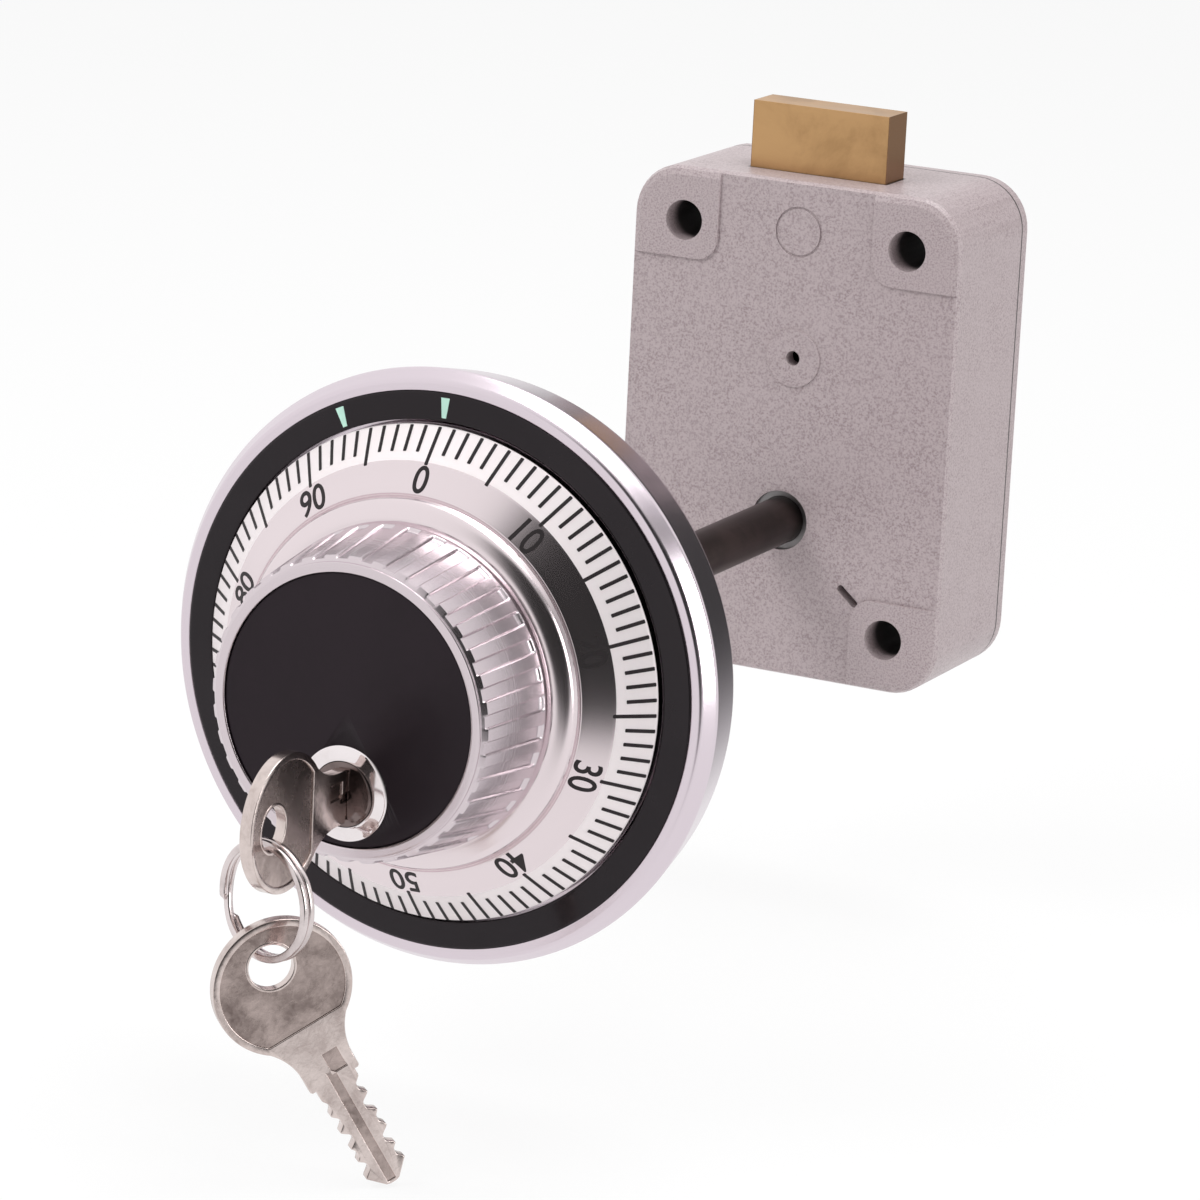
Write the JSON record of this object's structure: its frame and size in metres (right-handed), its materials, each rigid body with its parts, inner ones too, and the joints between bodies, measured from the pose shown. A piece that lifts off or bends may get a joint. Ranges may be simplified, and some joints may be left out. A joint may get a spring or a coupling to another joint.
{
  "type": "combination safe lock",
  "caption": "Mechanical combination safe lock: cast case with a sliding bolt, gated wheel pack, spindle, numbered dial with fluted knob in a dial ring, and a key-locking plug with keys.",
  "frame": {"origin": "where the spindle axis meets the plane of the case's mounting pads", "axes": "-Y toward the dial and the user, +Z along the bolt's throw, +X to the right seen from the dial"},
  "size_m": [0.0928, 0.2045, 0.1381],
  "materials": {
    "case": "fine speckled paint",
    "cover": "fine speckled paint",
    "brass": "brushed",
    "dark_steel": "oiled",
    "steel": "satin",
    "wheel_alloy": "turned",
    "bronzed_steel": "bronzed",
    "satin_aluminium": "satin turned",
    "black_enamel": "gloss",
    "black_cap": "satin",
    "chrome": "polished",
    "nickel": "tarnished nickel plate"
  },
  "bodies": {
    "case": {"case_body": "case", "back_cover": "cover", "cover_screw_1": "dark_steel", "cover_screw_2": "dark_steel", "cover_screw_3": "dark_steel", "cover_screw_4": "dark_steel", "wheel_post": "dark_steel", "post_clip": "dark_steel", "tension_washer": "steel", "spacer_1": "brass", "spacer_2": "brass", "spacer_3": "brass", "relock_spring": "steel", "dial_ring": "satin_aluminium", "index_band": "black_enamel"},
    "bolt": {"bolt": "brass", "lever_screw": "dark_steel", "lever_spring": "steel"},
    "lever": {"lever": "brass", "fence": "steel"},
    "dial": {"dial": "satin_aluminium", "knob": "satin_aluminium", "knob_screw_1": "dark_steel", "knob_screw_2": "dark_steel", "knob_screw_3": "dark_steel", "knob_cap": "black_cap", "plug_housing": "chrome", "spindle": "bronzed_steel", "spline_key": "dark_steel", "drive_cam": "brass"},
    "wheel_3": {"wheel_3": "wheel_alloy", "wheel_hub_3": "brass"},
    "wheel_2": {"wheel_2": "wheel_alloy", "wheel_hub_2": "brass"},
    "wheel_1": {"wheel_1": "wheel_alloy", "wheel_hub_1": "brass"},
    "relocker": {"relock_pin": "steel"},
    "plug": {"plug": "chrome", "lock_cam": "brass", "cam_clip": "dark_steel"},
    "key": {"key": "nickel"},
    "split_ring": {"split_ring": "steel"},
    "spare_key": {"spare_key": "nickel"}
  },
  "joints": [
    {"name": "bolt_slide", "type": "slide", "parent": "case", "child": "bolt", "axis": [0, 0, 1], "range_m": [-0.0112, 0]},
    {"name": "lever_drop", "type": "hinge", "parent": "bolt", "child": "lever", "pos_m": [0.009, 0, 0.04], "axis": [0, -1, 0], "range_deg": [-5.1, 0]},
    {"name": "dial_turn", "type": "hinge", "parent": "case", "child": "dial", "pos_m": [0, 0, 0], "axis": [0, 1, 0], "continuous": true},
    {"name": "wheel_3_turn", "type": "hinge", "parent": "dial", "child": "wheel_3", "pos_m": [0, 0, 0], "axis": [0, 1, 0], "range_deg": [-54.46, 273]},
    {"name": "wheel_2_turn", "type": "hinge", "parent": "wheel_3", "child": "wheel_2", "pos_m": [0, 0, 0], "axis": [0, 1, 0], "range_deg": [0, 327]},
    {"name": "wheel_1_turn", "type": "hinge", "parent": "wheel_2", "child": "wheel_1", "pos_m": [0, 0, 0], "axis": [0, 1, 0], "range_deg": [0, 327]},
    {"name": "relock_slide", "type": "slide", "parent": "case", "child": "relocker", "axis": [1, 0, 0], "range_m": [0, 0.003]},
    {"name": "plug_turn", "type": "hinge", "parent": "dial", "child": "plug", "pos_m": [0, 0, -0.0127], "axis": [0, 1, 0], "range_deg": [0, 90]},
    {"name": "key_pull", "type": "slide", "parent": "plug", "child": "key", "axis": [0, -1, 0], "range_m": [0, 0.019]},
    {"name": "ring_swing", "type": "hinge", "parent": "key", "child": "split_ring", "pos_m": [0, -0.1687, -0.0127], "axis": [1, 0, 0], "range_deg": [-20, 20]},
    {"name": "spare_key_swing", "type": "hinge", "parent": "split_ring", "child": "spare_key", "pos_m": [0.00057, -0.16813, -0.03359], "axis": [0.7071, -0.7071, 0], "range_deg": [-20, 20]}
  ]
}
